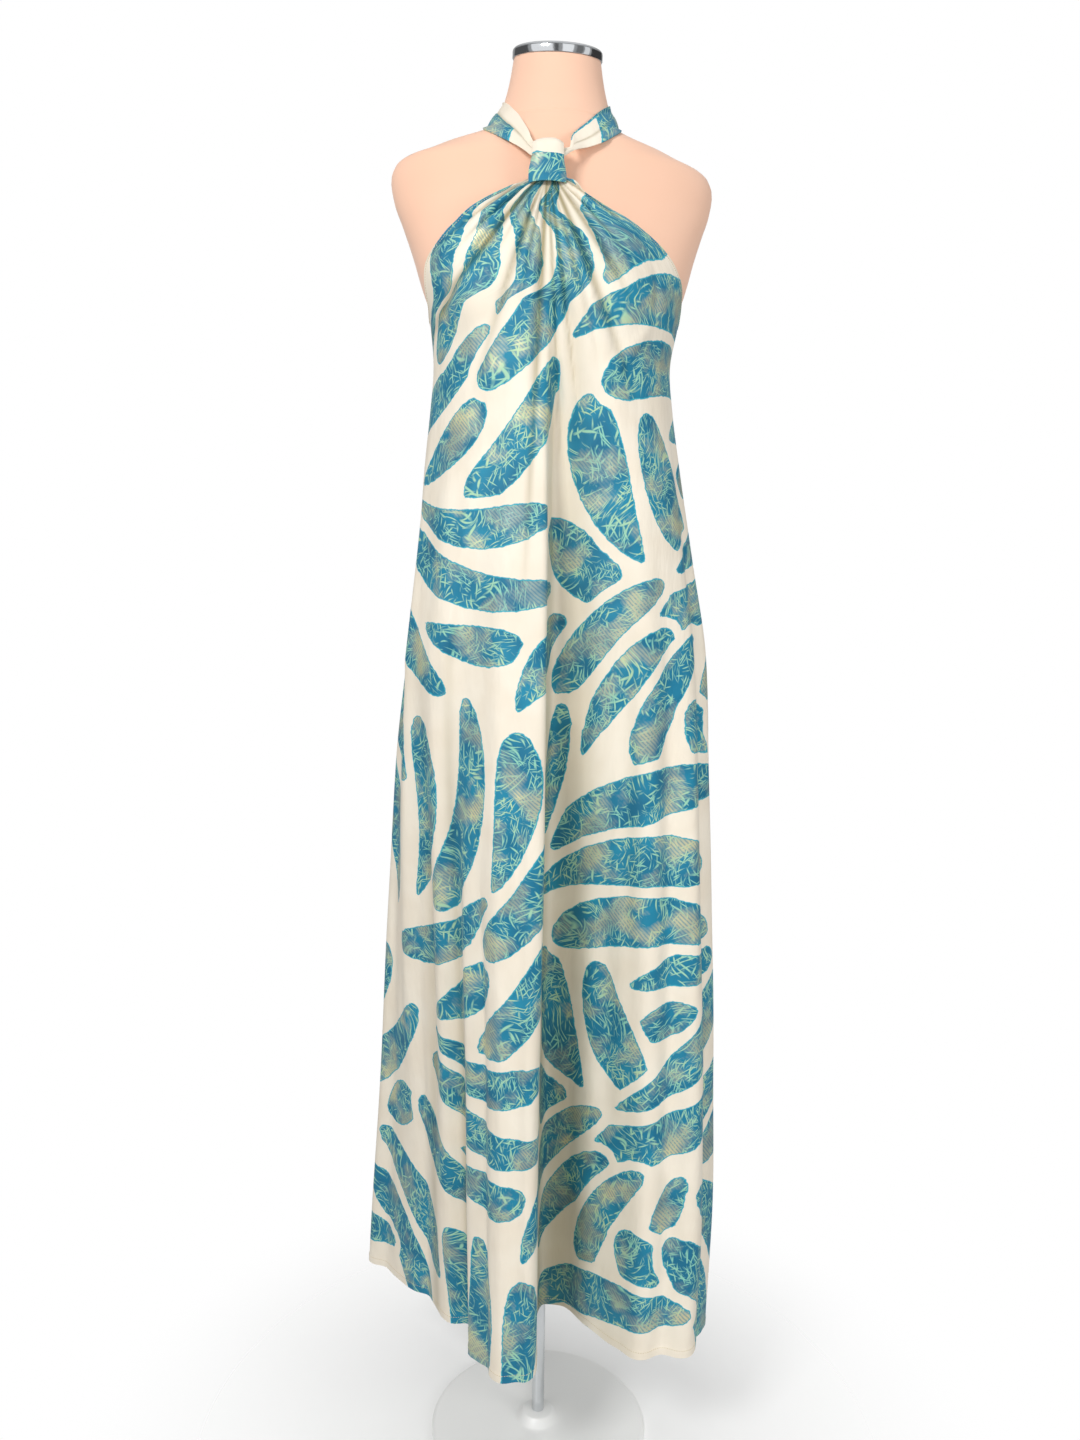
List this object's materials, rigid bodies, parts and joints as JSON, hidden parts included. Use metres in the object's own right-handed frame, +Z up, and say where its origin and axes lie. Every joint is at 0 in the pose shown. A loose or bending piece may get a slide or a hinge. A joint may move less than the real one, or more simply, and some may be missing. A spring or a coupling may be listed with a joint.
{
  "type": "halter dress on a dress form",
  "caption": "Floor-length halter dress with a gathered front held by a loop on a folded neckband, worn by a limbless dress form on a round-based stand.",
  "frame": {"origin": "centre of the stand base's underside, on the floor under the pole", "axes": "+Z up along the pole, the dress faces -Y, +X to the right of a viewer who faces the dress"},
  "size_m": [0.4501, 0.341, 1.7367],
  "materials": {
    "printed_cloth": "light crepe, cream ground with teal brush strokes and small metallic patches",
    "form_jersey": "matt knitted jersey, stretched smooth over the form",
    "chrome": "polished",
    "white_enamel": "satin powder coat"
  },
  "bodies": {
    "root": {"front_panel": "printed_cloth", "back_panel": "printed_cloth", "neckband": "printed_cloth", "loop": "printed_cloth", "torso": "form_jersey", "neck_cap": "chrome", "flange": "chrome", "pole": "chrome", "base": "white_enamel"}
  },
  "joints": []
}
